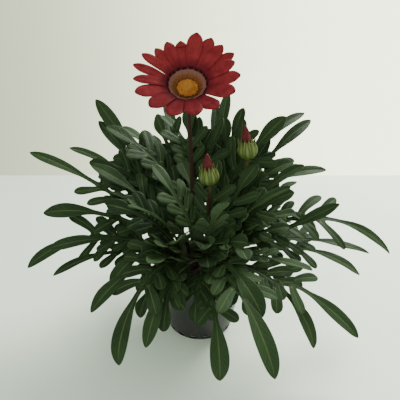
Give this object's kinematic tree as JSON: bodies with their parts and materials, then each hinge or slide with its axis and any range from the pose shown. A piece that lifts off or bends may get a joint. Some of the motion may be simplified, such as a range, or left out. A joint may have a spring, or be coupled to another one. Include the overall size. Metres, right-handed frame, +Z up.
{
  "type": "gazania in a nursery pot",
  "caption": "Potted gazania with an open red flower head, two buds and lobed leaves spilling over a round plastic pot.",
  "frame": {"origin": "centre of the pot's base, on the surface it stands on", "axes": "+Z up, -Y towards the front, the side that the flower head leans to"},
  "size_m": [0.4142, 0.3142, 0.3246],
  "materials": {
    "pot_plastic": "moulded",
    "peat": "crumbly peat",
    "leaf": "satin leaf",
    "stalk": "reddish stalk",
    "ray_petal": "velvety petal",
    "disc_floret": "fine florets",
    "bud_green": "satin bracts",
    "bud_petal": "rolled petals"
  },
  "bodies": {
    "root": {"pot": "pot_plastic", "soil": "peat", "shoot_left": "leaf", "shoot_left_back": "leaf", "shoot_back_left": "leaf", "shoot_back_right": "leaf", "shoot_right_back": "leaf", "shoot_right": "leaf", "shoot_right_front": "leaf", "shoot_front": "leaf", "shoot_left_front": "leaf", "flower_stalk": "stalk", "flower_rays": "ray_petal", "flower_disc": "disc_floret", "bud_right_stalk": "bud_green", "bud_right_petals": "bud_petal", "bud_middle_stalk": "bud_green", "bud_middle_petals": "bud_petal"}
  },
  "joints": []
}
